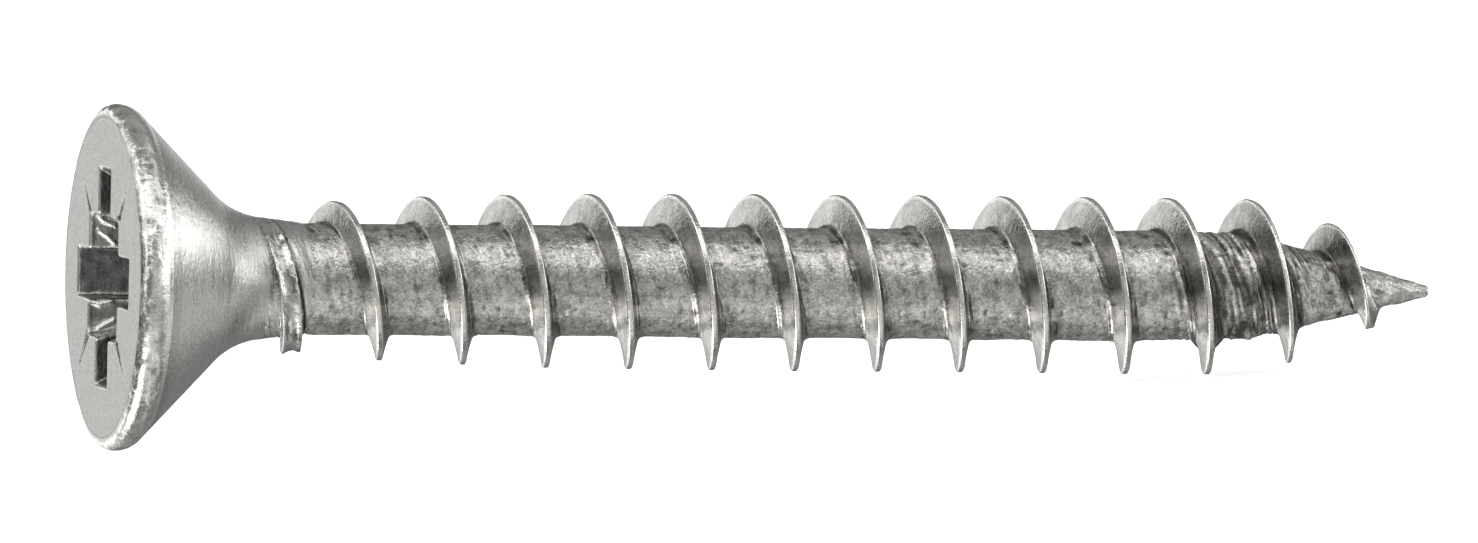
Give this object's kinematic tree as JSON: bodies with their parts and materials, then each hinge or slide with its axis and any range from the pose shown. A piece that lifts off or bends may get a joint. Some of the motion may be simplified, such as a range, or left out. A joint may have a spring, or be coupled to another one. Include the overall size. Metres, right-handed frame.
{
  "type": "wood screw",
  "caption": "Countersunk wood screw with a cross recess and a coarse thread that runs from the neck to a sharp point.",
  "frame": {"origin": "centre of the head's flat face, on the screw's axis", "axes": "+X along the screw from the head to the point; one pair of the recess's wings lies along Z and the other along Y"},
  "size_m": [0.035, 0.0088, 0.0088],
  "materials": {
    "head_steel": "cold-headed stainless steel: fine matte grain on the face, smoother with faint rings on the cone",
    "rim_steel": "rounded edge polished and dented by tumbling",
    "neck_steel": "drawn stainless wire, fine streaks round the neck",
    "core_steel": "rolled surface, mottled with small pits and streaks",
    "thread_steel": "rolled flanks with bright worn crests"
  },
  "bodies": {
    "root": {"head": "head_steel", "head_rim": "rim_steel", "neck": "neck_steel", "core": "core_steel", "point": "core_steel", "thread_runout": "thread_steel", "thread": "thread_steel", "point_thread": "thread_steel"}
  },
  "joints": []
}
